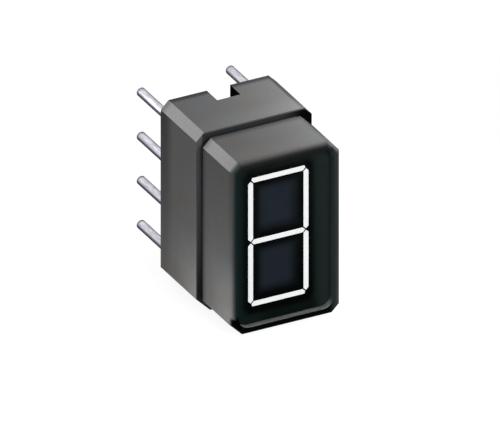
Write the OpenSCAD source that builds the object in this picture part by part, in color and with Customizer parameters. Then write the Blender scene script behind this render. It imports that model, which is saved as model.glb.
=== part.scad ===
// Seven-segment display with one digit: two-part case, seven light bars, eight round pins.
// Millimetres. The seating face is y = 0, the pins run toward +y, the digit faces -y, up is +z.

/* [Rear housing] */
// Width of the rear housing
rear_w = 6.6; // [6.5:0.05:8]
// Height of the rear housing
rear_h = 10.3; // [10:0.05:12]
// Depth from the seating face to the front rim
rear_d = 3.9; // [3.6:0.05:5]
// Flat cut along the two upper long edges
rear_cut = 0.45; // [0.4:0.05:0.9]
// Flat cut along the two lower long edges
rear_low_cut = 0.8; // [0.4:0.05:0.9]
// Thickness of the wall round the mouth
wall = 0.35; // [0.3:0.01:0.38]
// Flat cut in the four corners of the mouth
mouth_cut = 0.5; // [0.4:0.05:0.7]
// Thickness of the floor that carries the pins
floor_t = 1.6; // [1.4:0.05:2]

/* [Notch] */
// Width of the notch in the top rear edge
notch_w = 1.33; // [0.8:0.01:2]
// Depth of the notch, forward from the seating face
notch_d = 1.15; // [0.6:0.01:1.3]
// Height of the notch, down from the top
notch_h = 0.9; // [0.5:0.05:1.2]

/* [Front housing] */
// Width of the front housing
front_w = 6.25; // [6:0.05:6.6]
// Height of the front housing
front_h = 9.95; // [9.7:0.05:10.2]
// Depth of the front housing, forward from the groove
front_d = 3.15; // [2.5:0.05:4.5]
// Flat cut along the upper left and the lower right long edge
front_cut = 0.45; // [0.4:0.05:0.75]
// Wider cut along the other two long edges
front_key = 0.7; // [0.4:0.05:0.75]
// Radius round the front edge
front_round = 0.3; // [0.1:0.02:0.36]
// Width of the groove between the two housings
groove = 0.4; // [0.2:0.05:0.8]
// Clearance of the plug and of the board in the mouth
mouth_fit = 0.03; // [0.02:0.01:0.06]
// Width of the two feet that hold the board down
foot_w = 3.6; // [2:0.1:4]
// Thickness of the two feet
foot_t = 0.4; // [0.2:0.02:0.5]

/* [Window] */
// Width of the rim round the window
rim = 0.42; // [0.38:0.01:0.7]
// Depth of the window behind the rim
window_d = 0.36; // [0.1:0.02:0.6]
// Corner radius of the window
window_round = 0.6; // [0.3:0.05:0.9]

/* [Digit] */
// Width of the digit between the middles of its bars
digit_w = 3.16; // [2.6:0.02:3.4]
// Height of the digit between the middles of its bars
digit_h = 7.1; // [6:0.01:7.4]
// Offset of the digit to the left of the middle
digit_left = 0.27; // [0:0.01:0.4]
// Offset of the digit above the middle
digit_up = 0.09; // [0:0.01:0.2]
// Width of a bar at its front
bar_w = 0.28; // [0.2:0.01:0.5]
// Width of a bar at its back
bar_back_w = 0.7; // [0.5:0.02:0.9]
// Gap between the ends of two bars at their front
bar_gap = 0.07; // [0.06:0.01:0.3]
// Gap between the ends of two bars at their back
bar_back_gap = 0.4; // [0.3:0.02:0.6]
// Cut at the outer corners of the top and the bottom bar, at their front
outer_cut = 0.04; // [0.01:0.01:0.1]

/* [Pins] */
// Diameter of a pin
pin_d = 0.5; // [0.36:0.01:0.5]
// Length of a pin behind the seating face
pin_len = 3.7; // [2.5:0.1:6]
// Bevel at the tip of a pin
pin_tip = 0.1; // [0.04:0.01:0.14]
// Step from the thick end of the tapered shank that a pin has in the case to its free end
shank_step = 0.025; // [0.01:0.005:0.04]
// Length of the shank behind the seating face
shank_out = 0.15; // [0.1:0.01:0.4]
// Distance from pin to pin along a column
pin_pitch = 2.54; // [2.5:0.01:2.6]
// Distance between the two columns of pins
row_pitch = 5.08; // [4.8:0.01:5.1]
// Clearance round a shank in the floor and the board
pin_fit = 0.01; // [0.005:0.005:0.03]

/* [Inside] */
// Thickness of the board
board_t = 0.8; // [0.5:0.05:0.9]
// Room between the board and the back of the bars
board_room = 0.46; // [0.45:0.01:0.6]
// Height of a solder joint
solder_h = 0.25; // [0.15:0.01:0.4]
// Diameter of a solder joint on the board
solder_d = 0.7; // [0.66:0.01:0.74]
// Diameter of a solder joint at its top
solder_top_d = 0.58; // [0.56:0.01:0.64]
// Side of a chip
chip = 0.25; // [0.2:0.01:0.4]
// Height of a chip
chip_h = 0.2; // [0.12:0.01:0.22]
// Diameter of a bond wire
wire_d = 0.04; // [0.03:0.005:0.06]
// Radius of the loop of a bond wire
wire_loop = 0.2; // [0.16:0.01:0.22]

/* [Hidden] */
$fn = 48;
over = 0.5;
board_y = -floor_t - board_t;
bar_back_y = board_y - board_room;
rim_y = -rear_d;
back_y = rim_y - groove;
face_y = back_y - front_d;
window_y = face_y + window_d;
mouth_w = rear_w - 2 * wall;
mouth_h = rear_h - 2 * wall;
plug_w = mouth_w - 2 * mouth_fit;
plug_h = mouth_h - 2 * mouth_fit;
shank_d = pin_d + 2 * shank_step;
rear_cuts = [rear_low_cut, rear_low_cut, rear_cut, rear_cut];
front_cuts = [front_key, front_cut, front_key, front_cut];
mouth_cuts = [mouth_cut, mouth_cut, mouth_cut, mouth_cut];

// Outline of a rectangle with its corners cut, anticlockwise from the lower left, with a cut for each corner
function cut_corners(w, h, c) = [
    [c[0] - w / 2, -h / 2],
    [w / 2 - c[1], -h / 2],
    [w / 2, c[1] - h / 2],
    [w / 2, h / 2 - c[2]],
    [w / 2 - c[2], h / 2],
    [c[3] - w / 2, h / 2],
    [-w / 2, h / 2 - c[3]],
    [-w / 2, c[0] - h / 2]
];

// Place, turn and span of bar number i, from 0 at the top, clockwise, with 6 in the middle
function bar_x(i) = [0, 1, 1, 0, -1, -1, 0][i] * digit_w / 2 - digit_left;
function bar_z(i) = [2, 1, -1, -2, -1, 1, 0][i] * digit_h / 4 + digit_up;
function bar_turn(i) = i % 3 == 0 ? 0 : 90;
function bar_span(i) = i % 3 == 0 ? digit_w : digit_h / 2;

// Share of the way from the front of a bar to its back
function along_bar(y) = (y - window_y) / (bar_back_y - window_y);

// Width of a bar and gap at its ends, at a depth
function width_at(y) = bar_w + (bar_back_w - bar_w) * along_bar(y);
function gap_at(y) = bar_gap + (bar_back_gap - bar_gap) * along_bar(y);

// Length cut off the corners of a bar on one side, which is less on the outside of the digit
function side_cut(i, outer, y) = width_at(y) * (i == outer ? outer_cut / bar_w : 1 / 2);

// Six corners of a bar at a depth, pointed at both ends, with the cuts of its lower and upper side
function bar_ring(y, w, tip, low, up) = [
    [-tip, y, 0],
    [low - tip, y, -w / 2],
    [tip - low, y, -w / 2],
    [tip, y, 0],
    [tip - up, y, w / 2],
    [up - tip, y, w / 2]
];
function tip_at(i, y) = bar_span(i) / 2 - gap_at(y) / sqrt(2);
function ring_at(i, y) = bar_ring(y, width_at(y), tip_at(i, y), side_cut(i, 3, y), side_cut(i, 0, y));

// Place of pin number i, counted down the left column and then down the right
function pin_x(i) = i <= 4 ? -row_pitch / 2 : row_pitch / 2;
function pin_z(i) = (1.5 - (i - 1) % 4) * pin_pitch;

// Block with cut corners between two depths
module cut_block(w, h, c, y0, y1) {
    translate([0, y1, 0])
        rotate([90, 0, 0])
            linear_extrude(height = y1 - y0)
                polygon(cut_corners(w, h, c));
}

// Box with round corners between two depths
module round_block(w, h, r, y0, y1) {
    translate([-w / 2, y0, r - h / 2])
        cube([w, y1 - y0, h - 2 * r]);
    translate([r - w / 2, y0, -h / 2])
        cube([w - 2 * r, y1 - y0, h]);
    for (x = [r - w / 2, w / 2 - r], z = [r - h / 2, h / 2 - r])
        translate([x, y1, z])
            rotate([90, 0, 0])
                cylinder(r = r, h = y1 - y0);
}

// Waste outside the round along one side of the front edge
module front_waste(p, q) {
    len = norm(q - p);
    turn = atan2(q[1] - p[1], q[0] - p[0]);
    translate([p[0], face_y, p[1]])
        rotate([0, -turn, 0])
            difference() {
                translate([-over, -over, -over])
                    cube([len + 2 * over, over + front_round, over + front_round]);
                translate([-2 * over, front_round, front_round])
                    rotate([0, 90, 0])
                        cylinder(r = front_round, h = len + 4 * over);
            }
}

// Tapered six-sided body of one bar between two depths
module bar_body(i, y0, y1) {
    translate([bar_x(i), 0, bar_z(i)])
        rotate([0, bar_turn(i), 0])
            polyhedron(
                points = concat(ring_at(i, y0), ring_at(i, y1)),
                faces = [
                    [5, 4, 3, 2, 1, 0],
                    [6, 7, 8, 9, 10, 11],
                    [0, 1, 7, 6],
                    [1, 2, 8, 7],
                    [2, 3, 9, 8],
                    [3, 4, 10, 9],
                    [4, 5, 11, 10],
                    [5, 0, 6, 11]
                ]
            );
}

// Stands a thing made upright at the origin on the front of the board behind a bar
module on_board(i) {
    translate([bar_x(i), board_y, bar_z(i)])
        rotate([90, 0, 0])
            rotate([0, 0, bar_turn(i)])
                children();
}

// Bores for the eight pins between two depths
module pin_bores(y0, y1) {
    for (i = [1:8])
        translate([pin_x(i), y1, pin_z(i)])
            rotate([90, 0, 0])
                cylinder(d = shank_d + 2 * pin_fit, h = y1 - y0);
}

// Turned body of one pin: a shank that tapers toward the solder, and a free end with a bevel
module pin_body(i) {
    start = board_y - solder_h;
    translate([pin_x(i), 0, pin_z(i)])
        rotate([-90, 0, 0])
            rotate_extrude()
                polygon([
                    [0, start],
                    [pin_d / 2, start],
                    [shank_d / 2, shank_out],
                    [pin_d / 2, shank_out],
                    [pin_d / 2, pin_len - pin_tip],
                    [pin_d / 2 - pin_tip, pin_len],
                    [0, pin_len]
                ]);
}

module rear_housing() {
    color("#3b3d40")
        difference() {
            cut_block(rear_w, rear_h, rear_cuts, rim_y, 0);
            cut_block(mouth_w, mouth_h, mouth_cuts, rim_y - over, -floor_t);
            pin_bores(-floor_t - over, over);
            translate([-notch_w / 2, -notch_d, rear_h / 2 - notch_h])
                cube([notch_w, notch_d + over, notch_h + over]);
        }
}

module front_housing() {
    outline = cut_corners(front_w, front_h, front_cuts);
    color("#2a2c2e")
        difference() {
            union() {
                cut_block(front_w, front_h, front_cuts, face_y, back_y);
                cut_block(plug_w, plug_h, mouth_cuts, back_y, bar_back_y);
                for (z = [-plug_h / 2, plug_h / 2 - foot_t])
                    translate([-foot_w / 2, bar_back_y, z])
                        cube([foot_w, board_room, foot_t]);
            }
            for (i = [0:7])
                front_waste(outline[i], outline[(i + 1) % 8]);
            round_block(front_w - 2 * rim, front_h - 2 * rim, window_round, face_y - over, window_y);
            for (i = [0:6])
                bar_body(i, window_y - over / 5, bar_back_y + over / 5);
        }
}

module circuit_board() {
    color("#2f5a3a")
        difference() {
            cut_block(plug_w, plug_h, mouth_cuts, board_y, -floor_t);
            pin_bores(board_y - over, over - floor_t);
        }
}

module light_bar(i) {
    color("#f4f5f2")
        bar_body(i, window_y, bar_back_y);
}

module led_chip(i) {
    color("#d9b64a")
        on_board(i)
            translate([-chip / 2, -chip / 2, 0])
                cube([chip, chip, chip_h]);
}

module bond_wire(i) {
    color("#e0b23c")
        on_board(i) {
            translate([wire_loop, 0, chip_h])
                rotate([90, 0, 0])
                    rotate_extrude(angle = 180)
                        translate([wire_loop, 0])
                            circle(d = wire_d);
            translate([2 * wire_loop, 0, 0])
                cylinder(d = wire_d, h = chip_h);
        }
}

module pin(i) {
    color("#cfd0d6")
        pin_body(i);
}

module solder(i) {
    color("#b9bcc2")
        difference() {
            translate([pin_x(i), board_y, pin_z(i)])
                rotate([90, 0, 0])
                    cylinder(d1 = solder_d, d2 = solder_top_d, h = solder_h);
            pin_body(i);
        }
}

rear_housing();
front_housing();
circuit_board();
light_bar(0);  // light_bar_a
light_bar(1);  // light_bar_b
light_bar(2);  // light_bar_c
light_bar(3);  // light_bar_d
light_bar(4);  // light_bar_e
light_bar(5);  // light_bar_f
light_bar(6);  // light_bar_g
led_chip(0);  // led_chip_a
led_chip(1);  // led_chip_b
led_chip(2);  // led_chip_c
led_chip(3);  // led_chip_d
led_chip(4);  // led_chip_e
led_chip(5);  // led_chip_f
led_chip(6);  // led_chip_g
bond_wire(0);  // bond_wire_a
bond_wire(1);  // bond_wire_b
bond_wire(2);  // bond_wire_c
bond_wire(3);  // bond_wire_d
bond_wire(4);  // bond_wire_e
bond_wire(5);  // bond_wire_f
bond_wire(6);  // bond_wire_g
pin(1);  // pin_1
pin(2);  // pin_2
pin(3);  // pin_3
pin(4);  // pin_4
pin(5);  // pin_5
pin(6);  // pin_6
pin(7);  // pin_7
pin(8);  // pin_8
solder(1);  // solder_1
solder(2);  // solder_2
solder(3);  // solder_3
solder(4);  // solder_4
solder(5);  // solder_5
solder(6);  // solder_6
solder(7);  // solder_7
solder(8);  // solder_8
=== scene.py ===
import math
from functools import reduce

import bpy
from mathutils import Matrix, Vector


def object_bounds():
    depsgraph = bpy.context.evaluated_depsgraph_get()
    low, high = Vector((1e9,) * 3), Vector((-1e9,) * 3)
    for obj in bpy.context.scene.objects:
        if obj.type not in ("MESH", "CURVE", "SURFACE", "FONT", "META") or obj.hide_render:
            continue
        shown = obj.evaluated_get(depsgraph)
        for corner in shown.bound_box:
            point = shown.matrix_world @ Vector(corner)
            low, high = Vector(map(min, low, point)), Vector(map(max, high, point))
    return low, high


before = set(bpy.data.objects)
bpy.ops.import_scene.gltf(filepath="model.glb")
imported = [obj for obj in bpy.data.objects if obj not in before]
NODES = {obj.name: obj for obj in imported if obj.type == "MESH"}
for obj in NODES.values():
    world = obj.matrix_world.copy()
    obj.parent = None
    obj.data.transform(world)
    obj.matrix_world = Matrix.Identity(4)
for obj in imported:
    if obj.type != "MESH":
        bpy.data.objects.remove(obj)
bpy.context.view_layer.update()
MM = 0.001
WHITE = (1, 1, 1, 1)
LEFTWARD, FORWARD, BACKWARD, UPWARD = (-1, 0, 0), (0, -1, 0), (0, 1, 0), (0, 0, 1)


def box(name):
    """Lowest and highest corner of a piece, in millimetres."""
    spread = list(zip(*NODES[name].bound_box))
    return Vector([min(v) for v in spread]) / MM, Vector([max(v) for v in spread]) / MM


def centre(name):
    low, high = box(name)
    return (low + high) / 2


def fade(place, start, end):
    """Where a tone starts and where it is full, by the distance from a place, in millimetres."""
    return (place + start, place + end)


# Places that the colours follow, from the frame
REAR_LOW, REAR_HIGH = box("rear_housing")
FRONT_LOW, FRONT_HIGH = box("front_housing")
RIM_Y, FACE_Y = REAR_LOW.y, FRONT_LOW.y
PIN_TIP = box("pin_1")[1].y
DIGIT = centre("light_bar_g")
BAR_X = centre("light_bar_b").x - DIGIT.x
LOOP_Z = (centre("light_bar_a").z - DIGIT.z) / 2

# Camera: a parallel view from the left of the front, a little above
AZIMUTH, ELEVATION = math.radians(-27.5), math.radians(28.4)
PHOTO_WIDTH_PX = 500
PX_PER_MM = 19.757
SHIFT_RIGHT_PX, SHIFT_UP_PX = 0.32, 4.7
AIM = Vector((0, -3.5, 0))
CAMERA_AWAY, CLIP_NEAR, CLIP_FAR = 120, 2, 1000

right = Vector((math.cos(AZIMUTH), math.sin(AZIMUTH), 0))
level_toward = Vector((math.sin(AZIMUTH), -math.cos(AZIMUTH), 0))
toward = level_toward * math.cos(ELEVATION) + Vector(UPWARD) * math.sin(ELEVATION)
up = toward.cross(right)
aim = AIM - (right * SHIFT_RIGHT_PX + up * SHIFT_UP_PX) / PX_PER_MM
cam_data = bpy.data.cameras.new("camera")
cam_data.type = "ORTHO"
cam_data.ortho_scale = PHOTO_WIDTH_PX / PX_PER_MM * MM
cam_data.clip_start = CLIP_NEAR * MM
cam_data.clip_end = CLIP_FAR * MM
camera = bpy.data.objects.new("camera", cam_data)
camera.location = (aim + toward * CAMERA_AWAY) * MM
camera.rotation_mode = "QUATERNION"
camera.rotation_quaternion = (-toward).to_track_quat("-Z", "Y")
bpy.context.scene.collection.objects.link(camera)
bpy.context.scene.camera = camera


class Nodes:
    """Builds one material's node tree."""

    def __init__(self, name):
        self.mat = bpy.data.materials.new(name)
        self.mat.use_nodes = True
        self.tree = self.mat.node_tree
        self.tree.nodes.clear()
        out = self.add("ShaderNodeOutputMaterial")
        self.shader = self.add("ShaderNodeBsdfPrincipled")
        self.tree.links.new(self.shader.outputs[0], out.inputs["Surface"])
        self.coord = self.add("ShaderNodeTexCoord").outputs["Object"]

    def add(self, kind, **props):
        node = self.tree.nodes.new(kind)
        for key, value in props.items():
            setattr(node, key, value)
        return node

    def put(self, value, socket):
        if hasattr(value, "is_linked"):
            self.tree.links.new(value, socket)
        else:
            socket.default_value = value

    def set(self, **values):
        for key, value in values.items():
            self.put(value, self.shader.inputs[key.replace("_", " ")])

    def math(self, op, a, b=0.0):
        node = self.add("ShaderNodeMath", operation=op)
        self.put(a, node.inputs[0])
        self.put(b, node.inputs[1])
        return node.outputs[0]

    def both(self, *masks):
        """Where all the masks hold."""
        return reduce(lambda a, b: self.math("MULTIPLY", a, b), masks)

    def either(self, *masks):
        """Where any of the masks holds."""
        return reduce(lambda a, b: self.math("MAXIMUM", a, b), masks)

    def off(self, value, place):
        """Distance from a place, to either side."""
        return self.math("ABSOLUTE", self.math("SUBTRACT", value, place))

    def within(self, value, half):
        """Where a value is less than half from 0, to either side."""
        return self.math("LESS_THAN", self.math("ABSOLUTE", value), half)

    def stretch(self, scale):
        node = self.add("ShaderNodeMapping")
        self.put(self.coord, node.inputs["Vector"])
        node.inputs["Scale"].default_value = scale
        return node.outputs[0]

    def noise(self, size_mm, detail=4.0, rough=0.55, vector=None):
        node = self.add("ShaderNodeTexNoise")
        self.put(vector or self.coord, node.inputs["Vector"])
        node.inputs["Scale"].default_value = 1 / (size_mm * MM)
        node.inputs["Detail"].default_value = detail
        node.inputs["Roughness"].default_value = rough
        return node.outputs["Fac"]

    def span(self, value, ends, level=(0.0, 1.0), smooth=True):
        """Goes from the first level to the second while a value goes from the first end to the second."""
        node = self.add("ShaderNodeMapRange")
        node.interpolation_type = "SMOOTHSTEP" if smooth else "LINEAR"
        self.put(value, node.inputs["Value"])
        for key, v in zip(("From Min", "From Max", "To Min", "To Max"), (*ends, *level)):
            self.put(v, node.inputs[key])
        return node.outputs["Result"]

    def mix(self, fac, a, b):
        node = self.add("ShaderNodeMix", data_type="RGBA")
        self.put(fac, node.inputs[0])
        self.put(a, node.inputs[6])
        self.put(b, node.inputs[7])
        return node.outputs[2]

    def facing(self, direction):
        """Cosine between the surface and a direction."""
        geo = self.add("ShaderNodeNewGeometry")
        node = self.add("ShaderNodeVectorMath", operation="DOT_PRODUCT")
        self.put(geo.outputs["Normal"], node.inputs[0])
        node.inputs[1].default_value = direction
        return node.outputs["Value"]

    def turned(self, direction, ends, level=(0.0, 1.0)):
        """Where the surface faces a direction; the ends are cosines."""
        return self.span(self.facing(direction), ends, level)

    def place(self):
        """Coordinates of the point along the three axes, in millimetres."""
        node = self.add("ShaderNodeSeparateXYZ")
        self.put(self.coord, node.inputs[0])
        return [self.math("MULTIPLY", node.outputs[k], 1 / MM) for k in "XYZ"]

    def bump(self, height, depth_mm, strength):
        node = self.add("ShaderNodeBump")
        node.inputs["Strength"].default_value = strength
        node.inputs["Distance"].default_value = depth_mm * MM
        self.put(height, node.inputs["Height"])
        self.set(Normal=node.outputs[0])


def grey(v, warm=0.0):
    return (v * (1 + warm), v, v * (1 - warm), 1)


# Plastic of both housings
BASE = 0.125
PAINTED_HIGHLIGHT = grey(BASE * 1.6)
# A dark tone for painted shade, along edges and cuts turned from the light, toward the pins and in and by the
# groove
PAINTED_SHADE = (0.036, 0.037, 0.039, 1)
FLOW_MM, SPECK_MM, GRAIN_MM = 2.6, 0.16, 0.05
NOISE_MIDDLE = (0.3, 0.7)
TOP_FACES = (0.6, 0.9)
SIDE_LIGHT_Z = (-0.5, -5.0)
# Cosines on the cuts that take a painted highlight and on those that take painted shade, and the gloss of the
# first
HIGHLIGHT_CUT, SHADED_CUT, CUT_GLOSS = (0.55, 0.95), (-0.55, -0.95), 0.5


def moulded(name, edge, cut, dull, gloss, side_light_level, cut_highlight_level):
    """Fine-grained moulded plastic with faint flow marks, painted highlights and shade on its cuts and a
    painted shade line by its upper right cut.

    edge is the depth of its front edge and cut the place of that cut, in millimetres. dull is the strength
    of the shade line there. The last two are the brightness of the painted light low on its sides and of its
    highlit cuts.
    """
    m = Nodes(name)
    x, y, z = m.place()
    flow = m.noise(FLOW_MM, detail=3.0)
    speck = m.noise(SPECK_MM, detail=3.0, rough=0.7)
    grain = m.noise(GRAIN_MM, detail=2.0, rough=0.6)
    tone = m.mix(m.span(flow, NOISE_MIDDLE), grey(BASE * 0.95, 0.055), grey(BASE * 1.03, -0.035))
    tone = m.mix(m.span(speck, (0.35, 0.75), (0.0, 0.35)), tone, grey(BASE * 1.3))

    # Painted light: the low part of the sides, lighter toward the front edge
    side_light = m.both(m.span(z, SIDE_LIGHT_Z, smooth=False), m.span(y, fade(edge, 2.2, 0.2), (0.35, 1.0), smooth=False))
    side_light_tone = m.mix(m.span(flow, (0.35, 0.65)), grey(side_light_level * 0.9, 0.04), grey(side_light_level * 1.1, 0.02))
    tone = m.mix(side_light, tone, side_light_tone)
    # Painted shade: a dark line along the top by the upper right cut
    line = m.both(m.turned(UPWARD, TOP_FACES), m.span(x, fade(cut, -0.2, -0.06), (0.0, dull)))
    tone = m.mix(line, tone, PAINTED_SHADE)

    # Positive on the cuts upper left and lower right, negative on the other two, 1 at 45 degrees; the first
    # two get a painted highlight and more gloss, the other two painted shade
    slant = m.math("MULTIPLY", m.facing((1, 0, 0)), m.facing((0, 0, -2)))
    cut_highlight_tone = m.mix(m.span(speck, NOISE_MIDDLE), grey(cut_highlight_level * 0.9), grey(cut_highlight_level * 1.1))
    tone = m.mix(m.span(slant, HIGHLIGHT_CUT), tone, cut_highlight_tone)
    tone = m.mix(m.span(slant, SHADED_CUT), tone, PAINTED_SHADE)
    m.gloss = m.both(m.span(slant, HIGHLIGHT_CUT, (gloss, CUT_GLOSS)), m.span(slant, SHADED_CUT, (1.0, 0.0)))
    m.set(Roughness=m.span(speck, (0.2, 0.8), (0.42, 0.5)))
    m.bump(m.math("ADD", grain, m.math("MULTIPLY", speck, 0.7)), depth_mm=0.004, strength=0.5)
    return m, tone


# Rear housing: its upper right cut, and where its painted shade and highlights start and are full
REAR_CUT = 0.45
TOP_HIGHLIGHT_Y = fade(RIM_Y, 1.7, 0.1)
SIDE_SHADE_Y, SIDE_SHADE_Z = (-1.5, -0.5), (-3.0, 5.0)
TOP_SHADE_Y = (-0.5, -0.15)
LANE_X, LANE_Z = fade(REAR_LOW.x, 0.4, 0.3), (-4.0, 3.0)
MURK_X = fade(REAR_HIGH.x, -1.8, -0.5)
EDGE_HIGHLIGHT_X, EDGE_HIGHLIGHT_Z = fade(REAR_LOW.x, 0.1, 0.02), fade(REAR_HIGH.z, -0.12, -0.03)
EDGE_HIGHLIGHT_HEIGHT = (-5.0, 0.0)
NOTCH_HALF, NOTCH_Y, NOTCH_Z = 0.7, (-1.2, -1.1), fade(REAR_HIGH.z, -1.15, -0.85)
NOTCH_WALLS = (0.9, 0.4)
LANE_LOW, LANE_HIGH = (0.012, 0.0125, 0.013, 1), (0.11, 0.106, 0.115, 1)
MURK_TONE, NOTCH_SHADE, EDGE_HIGHLIGHT_TONE = grey(0.003), grey(0.006), grey(0.12)


def rear_case():
    """Rear housing: painted shade toward the pins, on the rim in the groove and in the notch, and painted
    highlights on its top by the rim and along the rim's outer edge.
    """
    m, tone = moulded("rear_case_plastic", edge=RIM_Y, cut=REAR_HIGH.x - REAR_CUT,
                      dull=0.9, gloss=0.11, side_light_level=0.37, cut_highlight_level=0.215)
    x, y, z = m.place()
    # Painted highlight: the top lighter toward the rim
    tone = m.mix(m.both(m.span(y, TOP_HIGHLIGHT_Y, (0.0, 0.4)), m.turned(UPWARD, TOP_FACES)), tone, PAINTED_HIGHLIGHT)

    # Painted shade: the left side darker toward the rear and upward, and the top darker along its rear edge
    side_shade = m.both(m.turned(LEFTWARD, (0.8, 0.95)), m.span(y, SIDE_SHADE_Y),
                        m.span(z, SIDE_SHADE_Z, (0.25, 0.75), smooth=False))
    top_shade = m.both(m.turned(BACKWARD, (0.8, 0.3)), m.span(y, TOP_SHADE_Y, (0.0, 0.8)),
                       m.turned(UPWARD, (0.5, 0.9)))
    rear_shade = m.either(side_shade, top_shade)
    tone = m.mix(rear_shade, tone, PAINTED_SHADE)

    # The rim in the groove, in painted shade: lighter upward on the left, black at the right end, with a
    # painted highlight along its outer edge
    left = m.mix(m.span(z, LANE_Z, smooth=False), LANE_LOW, LANE_HIGH)
    rim = m.mix(m.span(x, LANE_X), m.mix(m.span(x, MURK_X), PAINTED_SHADE, MURK_TONE), left)
    edge_highlight = m.both(m.either(m.span(x, EDGE_HIGHLIGHT_X), m.span(z, EDGE_HIGHLIGHT_Z)), m.span(z, EDGE_HIGHLIGHT_HEIGHT, (0.4, 1.0)))
    rim = m.mix(edge_highlight, rim, EDGE_HIGHLIGHT_TONE)
    ahead = m.turned(FORWARD, (0.3, 0.8))
    tone = m.mix(ahead, tone, rim)
    murk = m.both(ahead, m.span(x, MURK_X))

    # Painted shade on the walls of the notch
    notch = m.both(m.within(x, NOTCH_HALF), m.span(y, NOTCH_Y), m.span(z, NOTCH_Z),
                   m.turned(UPWARD, NOTCH_WALLS))
    m.set(Base_Color=m.mix(notch, tone, NOTCH_SHADE))
    m.set(Specular_IOR_Level=m.both(m.gloss, m.math("SUBTRACT", 1.0, m.either(notch, rear_shade, murk))))
    return m


# Front housing: its upper right cut, its rounding, and where its print, painted shade and highlights start
# and are full
FRONT_CUT = 0.7
ROUNDING = 0.3
TURNED_FACES = (0.4, 0.8)
INK_FALL = 3.0
GROOVE_Y = fade(RIM_Y, -0.85, -0.4)
CAP_HIGHLIGHT_Y = fade(FACE_Y, 2.05, 0.45)
WINDOW_HALF_X, WINDOW_HALF_Z, WINDOW_Y = 2.74, 4.6, fade(FACE_Y, 0.65, 0.45)
CORNER_Y, CORNER_Z = fade(FACE_Y, 0.45, 0.25), fade(FRONT_LOW.z, 0.875, 0.475)
HEEL_X, HEEL_Y = fade(FRONT_LOW.x, 1.125, 0.525), fade(FACE_Y, 0.31, 0.09)
HEEL_Z = fade(FRONT_LOW.z, 1.275, 0.975)
SUNK_Y = fade(FACE_Y, 0.15, 0.27)
HEIGHT_Z, ACROSS_X = (-5.0, 4.5), (-3.0, 3.0)
LEDGE_Y, LEDGE_Z = fade(FACE_Y, 0.45, 0.15), (-3.5, -4.2)
CLOUD_MM, LEDGE_MOTTLE_MM, LEDGE_MOTTLE_STRETCH = 0.9, 0.35, (0.3, 1, 1)
CLOUD_INK, WALL_LIT_INK = (0.011, 0.016, 0.017, 1), (0.058, 0.073, 0.082, 1)
LEDGE_HIGHLIGHT_DARK, LEDGE_HIGHLIGHT_LIGHT = grey(0.19), grey(0.34)

# Ink of the rim round the window, with painted shade: darkest at the bottom, lighter toward the sides, near
# black at the lower left corner
RIM_LEFT_X, RIM_RIGHT_X = fade(FRONT_LOW.x, 0.825, 0.425), fade(FRONT_HIGH.x, -0.725, -0.225)
RIM_SHADED_INK_LOW, RIM_SHADED_INK_HIGH = (0.0008, 0.002, 0.0018, 1), (0.0165, 0.020, 0.019, 1)
RIM_SHADED_INK_LEFT, RIM_SHADED_INK_RIGHT = (0.011, 0.0215, 0.0215, 1), (0.037, 0.047, 0.053, 1)
HEEL_SHADE = (0.0008, 0.001, 0.001, 1)


def rim_ink_and_shade(m, x, height, heel):
    ink_with_shading = m.mix(height, RIM_SHADED_INK_LOW, RIM_SHADED_INK_HIGH)
    ink_with_shading = m.mix(m.span(x, RIM_RIGHT_X), ink_with_shading, RIM_SHADED_INK_RIGHT)
    ink_with_shading = m.mix(m.span(x, RIM_LEFT_X, (0.0, 0.8)), ink_with_shading, RIM_SHADED_INK_LEFT)
    return m.mix(heel, ink_with_shading, HEEL_SHADE)


# Ink of the sunk window, with painted shade and light: darker toward the bottom and at its foot, lighter at
# both sides, with a painted glow in the digit's two loops and a painted shade ring round its bars
SUNK_LEFT_X, SUNK_RIGHT_X = (-1.8, -2.4), (1.4, 2.3)
FOOT_Z, FOOT_LEFT_X, FOOT_RIGHT_X = (-3.9, -4.2), (-0.7, -1.9), (2.3, 1.4)
GLOW_MIDDLE_X, GLOW_MIDDLE_Z = DIGIT.x - 0.13, DIGIT.z + 0.11
GLOW_REACH_X, GLOW_REACH_Z, GLOW_UPPER_Z = (1.3, 0.55), (1.5, 0.75), (-0.3, 0.3)
RING_REACH, RING_END_X, RING_END_Z = (0.62, 0.26), (2.0, 1.7), (4.0, 3.7)
RING_STRENGTH = 0.75
SUNK_SHADED_INK_LOW, SUNK_SHADED_INK_HIGH = (0.0002, 0.0018, 0.0008, 1), (0.0185, 0.0205, 0.02, 1)
SUNK_SHADED_INK_LEFT, SUNK_SHADED_INK_RIGHT = (0.011, 0.02, 0.02, 1), (0.0215, 0.033, 0.032, 1)
FOOT_SHADED_INK, FOOT_SHADED_INK_LEFT = (0.005, 0.0095, 0.008, 1), (0.0085, 0.0165, 0.0125, 1)
PAINTED_GLOW, RING_SHADE = (0.023, 0.030, 0.043, 1), (0.001, 0.0015, 0.0018, 1)


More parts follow.
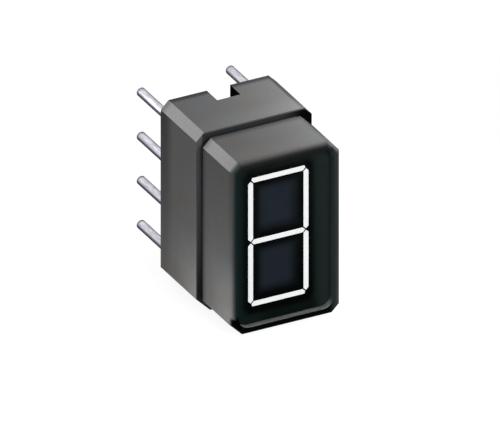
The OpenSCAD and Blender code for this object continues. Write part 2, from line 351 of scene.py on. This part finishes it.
def sunk_ink_light_and_shade(m, x, z, height):
    across = m.span(x, ACROSS_X, (0.45, 1.0), smooth=False)
    ink_with_shading = m.mix(m.both(height, across), SUNK_SHADED_INK_LOW, SUNK_SHADED_INK_HIGH)
    ink_with_shading = m.mix(m.span(x, SUNK_RIGHT_X, (0.0, 0.85)), ink_with_shading, SUNK_SHADED_INK_RIGHT)
    ink_with_shading = m.mix(m.span(x, SUNK_LEFT_X, (0.0, 0.8)), ink_with_shading, SUNK_SHADED_INK_LEFT)
    foot = m.both(m.span(z, FOOT_Z), m.span(x, FOOT_RIGHT_X))
    ink_with_shading = m.mix(foot, ink_with_shading, m.mix(m.span(x, FOOT_LEFT_X), FOOT_SHADED_INK, FOOT_SHADED_INK_LEFT))

    # Painted glow in the digit's two loops
    from_loop = m.off(m.off(z, GLOW_MIDDLE_Z), LOOP_Z)
    glow = m.both(m.span(m.off(x, GLOW_MIDDLE_X), GLOW_REACH_X), m.span(from_loop, GLOW_REACH_Z),
                  m.span(z, GLOW_UPPER_Z, (0.85, 1.0)))
    ink_with_shading = m.mix(glow, ink_with_shading, PAINTED_GLOW)

    # Painted shade: a dark ring round the bars
    off_x, off_z = m.off(x, DIGIT.x), m.off(z, DIGIT.z)
    by_upright = m.both(m.span(m.off(off_x, BAR_X), RING_REACH), m.span(off_z, RING_END_Z))
    from_level = m.off(m.off(off_z, LOOP_Z), LOOP_Z)
    by_level = m.both(m.span(from_level, RING_REACH), m.span(off_x, RING_END_X))
    ring = m.math("MULTIPLY", m.either(by_upright, by_level), RING_STRENGTH)
    return m.mix(ring, ink_with_shading, RING_SHADE)


def front_case():
    """Front housing: the same plastic, its face and sunk window printed dark with painted shade and light
    across the print, painted shade by the groove and a mottled painted highlight on the low ledge.
    """
    m, tone = moulded("front_case_plastic", edge=FACE_Y + ROUNDING, cut=FRONT_HIGH.x - FRONT_CUT,
                      dull=0.3, gloss=0.08, side_light_level=0.28, cut_highlight_level=0.27)
    x, y, z = m.place()
    # Painted shade by the groove, and a painted highlight on the top toward the face
    tone = m.mix(m.span(y, GROOVE_Y, (0.0, 0.65)), tone, PAINTED_SHADE)
    tone = m.mix(m.both(m.span(y, CAP_HIGHLIGHT_Y, (0.0, 0.35)), m.turned(UPWARD, TURNED_FACES)), tone, PAINTED_HIGHLIGHT)

    inside = m.both(m.within(x, WINDOW_HALF_X), m.within(z, WINDOW_HALF_Z), m.span(y, WINDOW_Y))
    ahead = m.math("POWER", m.math("MAXIMUM", m.facing(FORWARD), 0.0), INK_FALL)
    # Painted shade: the low front edge takes the dark print, near black at its lower left corner
    corner = m.both(m.span(z, CORNER_Z), m.span(y, CORNER_Y))
    heel = m.both(m.span(z, HEEL_Z), m.span(y, HEEL_Y), m.span(x, HEEL_X))
    face = m.either(ahead, corner, heel, inside)

    height = m.span(z, HEIGHT_Z, smooth=False)
    # The dark print, with the painted shade and light of the rim and the window
    ink_with_shading = m.mix(m.span(y, SUNK_Y), rim_ink_and_shade(m, x, height, heel), sunk_ink_light_and_shade(m, x, z, height))
    cloud = m.both(m.span(m.noise(CLOUD_MM, detail=3.0), NOISE_MIDDLE, (0.0, 0.25)), height)
    ink_with_shading = m.mix(cloud, ink_with_shading, CLOUD_INK)
    # Painted light on the window's right inner wall
    ink_with_shading = m.mix(m.both(inside, m.turned(LEFTWARD, TURNED_FACES)), ink_with_shading, WALL_LIT_INK)

    # A mottled painted highlight on the window's low ledge
    ledge = m.both(inside, m.turned(UPWARD, TURNED_FACES), m.span(z, LEDGE_Z), m.span(y, LEDGE_Y, (0.5, 1.0)))
    drift = m.noise(LEDGE_MOTTLE_MM, detail=3.0, rough=0.6, vector=m.stretch(LEDGE_MOTTLE_STRETCH))
    ledge_highlight = m.mix(m.span(drift, NOISE_MIDDLE), LEDGE_HIGHLIGHT_DARK, LEDGE_HIGHLIGHT_LIGHT)
    m.set(Base_Color=m.mix(ledge, m.mix(face, tone, ink_with_shading), ledge_highlight))
    m.set(Specular_IOR_Level=m.both(m.gloss, m.span(face, (0.0, 1.0), (1.0, 0.05), smooth=False)))
    return m


# Light bars
HAZE_MM, RIPPLE_MM = 0.5, 0.08
RESIN_CLEAR, RESIN_MILKY = (0.9, 0.915, 0.91, 1), (0.83, 0.85, 0.855, 1)


def bar_resin():
    """Milky resin, with a painted glow: it gives off a little light of its own."""
    m = Nodes("light_bar_resin")
    haze = m.span(m.noise(HAZE_MM), NOISE_MIDDLE)
    m.set(Base_Color=m.mix(haze, RESIN_CLEAR, RESIN_MILKY), Roughness=0.4)
    # Painted glow: the bars give off light though they are no lamp
    m.set(Emission_Color=WHITE, Emission_Strength=0.3)
    m.bump(m.noise(RIPPLE_MM, detail=2.0), depth_mm=0.002, strength=0.4)
    return m


# Metals, with the upper right and the lower left of a pin, where painted shade goes
PIN_UPPER, PIN_LOWER = (0.76, 0, 0.65), (-0.7, 0, -0.71)
STREAK_MM, STREAK_DEPTH_MM, TARNISH_MM = 0.07, 0.003, 0.5
ALL_ROUND, ALONG_PIN = (1, 1, 1), (1, 0.12, 1)


def metal(name, dull, bright, rough, stretch=ALL_ROUND, edge=1.0, shade_tone=None, tip=None):
    """Drawn or cast metal; edge is how bright it mirrors at a grazing angle.

    For a pin, the dark tone is painted shade on its lower side and faintly on its upper side, and darkens its
    tip too.
    """
    m = Nodes(name)
    streak = m.noise(STREAK_MM, detail=3.0, rough=0.6, vector=m.stretch(stretch))
    tarnish = m.noise(TARNISH_MM, detail=3.0)
    tone = m.mix(m.span(streak, NOISE_MIDDLE), dull, bright)
    tone = m.mix(m.span(tarnish, (0.45, 0.75), (0.0, 0.4)), tone, dull)
    if shade_tone:
        # Painted shade on the pin's upper right and lower left, and the same dark tone at its tip
        tone = m.mix(m.turned(PIN_UPPER, (0.7, 0.95), (0.0, 0.35)), tone, shade_tone)
        tone = m.mix(m.turned(PIN_LOWER, (0.15, 0.6)), tone, shade_tone)
        tone = m.mix(m.span(m.place()[1], fade(tip, -0.35, -0.1)), tone, shade_tone)
    m.set(Base_Color=tone, Metallic=1.0, Specular_Tint=grey(edge))
    m.set(Roughness=m.span(streak, (0.2, 0.8), (rough, rough + 0.14)))
    m.bump(streak, STREAK_DEPTH_MM, strength=0.5)
    return m


# Board and chips, inside
THREAD_MM, UPRIGHT, LEVEL = 0.12, (1, 1, 0.15), (0.15, 1, 1)
BOARD_DARK, BOARD_LIGHT = (0.035, 0.11, 0.06, 1), (0.07, 0.19, 0.1, 1)
FACET_MM = 0.06
CHIP_DARK, CHIP_LIGHT = (0.62, 0.48, 0.16, 1), (0.8, 0.66, 0.26, 1)


def board_laminate():
    """Woven threads under green resin."""
    m = Nodes("board_laminate")
    threads = [m.noise(THREAD_MM, detail=2.0, rough=0.5, vector=m.stretch(way)) for way in (UPRIGHT, LEVEL)]
    weave = m.span(m.both(*threads), (0.15, 0.4))
    m.set(Base_Color=m.mix(weave, BOARD_DARK, BOARD_LIGHT), Roughness=0.42)
    return m


def chip_crystal():
    m = Nodes("chip_crystal")
    facet = m.span(m.noise(FACET_MM), NOISE_MIDDLE)
    m.set(Base_Color=m.mix(facet, CHIP_DARK, CHIP_LIGHT), Roughness=0.25)
    return m


PAINT = {
    "rear_housing": rear_case(),
    "front_housing": front_case(),
    "circuit_board": board_laminate(),
    "light_bar": bar_resin(),
    "led_chip": chip_crystal(),
    "bond_wire": metal("gold_wire", (0.62, 0.42, 0.12, 1), (0.86, 0.64, 0.24, 1), rough=0.2),
    "pin": metal("tinned_pin", (0.52, 0.51, 0.57, 1), (0.82, 0.81, 0.88, 1), rough=0.22, stretch=ALONG_PIN,
                 edge=0.1, shade_tone=(0.17, 0.165, 0.19, 1), tip=PIN_TIP),
    "solder": metal("solder_metal", (0.48, 0.49, 0.52, 1), (0.7, 0.71, 0.74, 1), rough=0.3),
}
for name, obj in NODES.items():
    kind = name if name in PAINT else name.rsplit("_", 1)[0]
    obj.data.materials.clear()
    obj.data.materials.append(PAINT[kind].mat)

# Broken edges of the housings
WELD_MM = 0.0005
FLAT_ANGLE, SHARP_ANGLE = math.radians(0.5), math.radians(28)


def soften(obj, width_mm):
    """Merges the mesh's split corners and flat faces, and breaks its sharp edges a little."""
    weld = obj.modifiers.new("weld", "WELD")
    weld.merge_threshold = WELD_MM * MM
    flat = obj.modifiers.new("flat", "DECIMATE")
    flat.decimate_type = "DISSOLVE"
    flat.angle_limit = FLAT_ANGLE
    bevel = obj.modifiers.new("bevel", "BEVEL")
    bevel.width = width_mm * MM
    bevel.segments = 3
    bevel.limit_method = "ANGLE"
    bevel.angle_limit = SHARP_ANGLE
    normal = obj.modifiers.new("normal", "WEIGHTED_NORMAL")
    normal.keep_sharp = False
    normal.weight = 100


soften(NODES["rear_housing"], 0.05)
soften(NODES["front_housing"], 0.03)


def seen(tree):
    """1 for rays from the camera, from glossy surfaces and through glass, else 0."""
    path = tree.nodes.new("ShaderNodeLightPath")
    value = path.outputs["Is Camera Ray"]
    for key in ("Is Glossy Ray", "Is Transmission Ray"):
        most = tree.nodes.new("ShaderNodeMath")
        most.operation = "MAXIMUM"
        tree.links.new(value, most.inputs[0])
        tree.links.new(path.outputs[key], most.inputs[1])
        value = most.outputs[0]
    return value


# Floor: grey paper, which glows white only where it is seen or mirrored
FLOOR_HALF = 300 * MM
PAPER_MM, PAPER_DARK, PAPER_LIGHT = 40.0, grey(0.26), grey(0.28)
PAPER_GLOW = 0.9

floor_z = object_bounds()[0].z
corners = [(sx * FLOOR_HALF, sy * FLOOR_HALF, floor_z) for sx, sy in ((-1, -1), (1, -1), (1, 1), (-1, 1))]
mesh = bpy.data.meshes.new("floor")
mesh.from_pydata(corners, [], [(0, 1, 2, 3)])
floor = bpy.data.objects.new("floor", mesh)
bpy.context.scene.collection.objects.link(floor)
paper = Nodes("paper")
paper.set(Base_Color=paper.mix(paper.noise(PAPER_MM), PAPER_DARK, PAPER_LIGHT))
paper.set(Roughness=0.9, Specular_IOR_Level=0.0)
paper.set(Emission_Color=WHITE, Emission_Strength=paper.math("MULTIPLY", seen(paper.tree), PAPER_GLOW))
mesh.materials.append(paper.mat)

# World: white where it is seen, and a faint light all round
WORLD_LIGHT, WORLD_SEEN = 0.15, 1.0

world = bpy.data.worlds.new("studio")
world.use_nodes = True
bpy.context.scene.world = world
tree = world.node_tree
tree.nodes.clear()
level = tree.nodes.new("ShaderNodeMapRange")
level.inputs["To Min"].default_value = WORLD_LIGHT
level.inputs["To Max"].default_value = WORLD_SEEN
tree.links.new(seen(tree), level.inputs["Value"])
sky = tree.nodes.new("ShaderNodeBackground")
sky.inputs["Color"].default_value = WHITE
tree.links.new(level.outputs["Result"], sky.inputs["Strength"])
end = tree.nodes.new("ShaderNodeOutputWorld")
tree.links.new(sky.outputs[0], end.inputs["Surface"])


def lamp(name, place, aim, size, level, gleam=False):
    """Soft square lamp, in millimetres; level is the light at its aim, where 1 shows a colour as written.

    A gleam lamp shows only as a reflection, the others only as plain light.
    """
    data = bpy.data.lights.new(name, "AREA")
    data.size = size * MM
    to = (Vector(aim) - Vector(place)) * MM
    data.energy = level * math.pi ** 2 * to.length_squared
    obj = bpy.data.objects.new(name, data)
    obj.location = Vector(place) * MM
    obj.rotation_mode = "QUATERNION"
    obj.rotation_quaternion = to.to_track_quat("-Z", "Y")
    obj.visible_camera = False
    obj.visible_diffuse = not gleam
    obj.visible_glossy = gleam
    bpy.context.scene.collection.objects.link(obj)


lamp("key", (8.5, -3.8, 8.6), aim=(1, -3, 5), size=5, level=2.3)
lamp("front", (5, -80, 40), aim=(0, -4, 0), size=60, level=0.6)
lamp("low", (-10, -8.5, -4.2), aim=(-3.2, -4.5, -4.4), size=4, level=0.75)
lamp("back", (10, 80, 12), aim=(0, 0, 0), size=60, level=0.6)
lamp("edge", (-7, 1.6, 8.2), aim=(-3.1, -4.2, 4.9), size=8, level=1.2, gleam=True)

bpy.context.scene.view_settings.view_transform = "Standard"
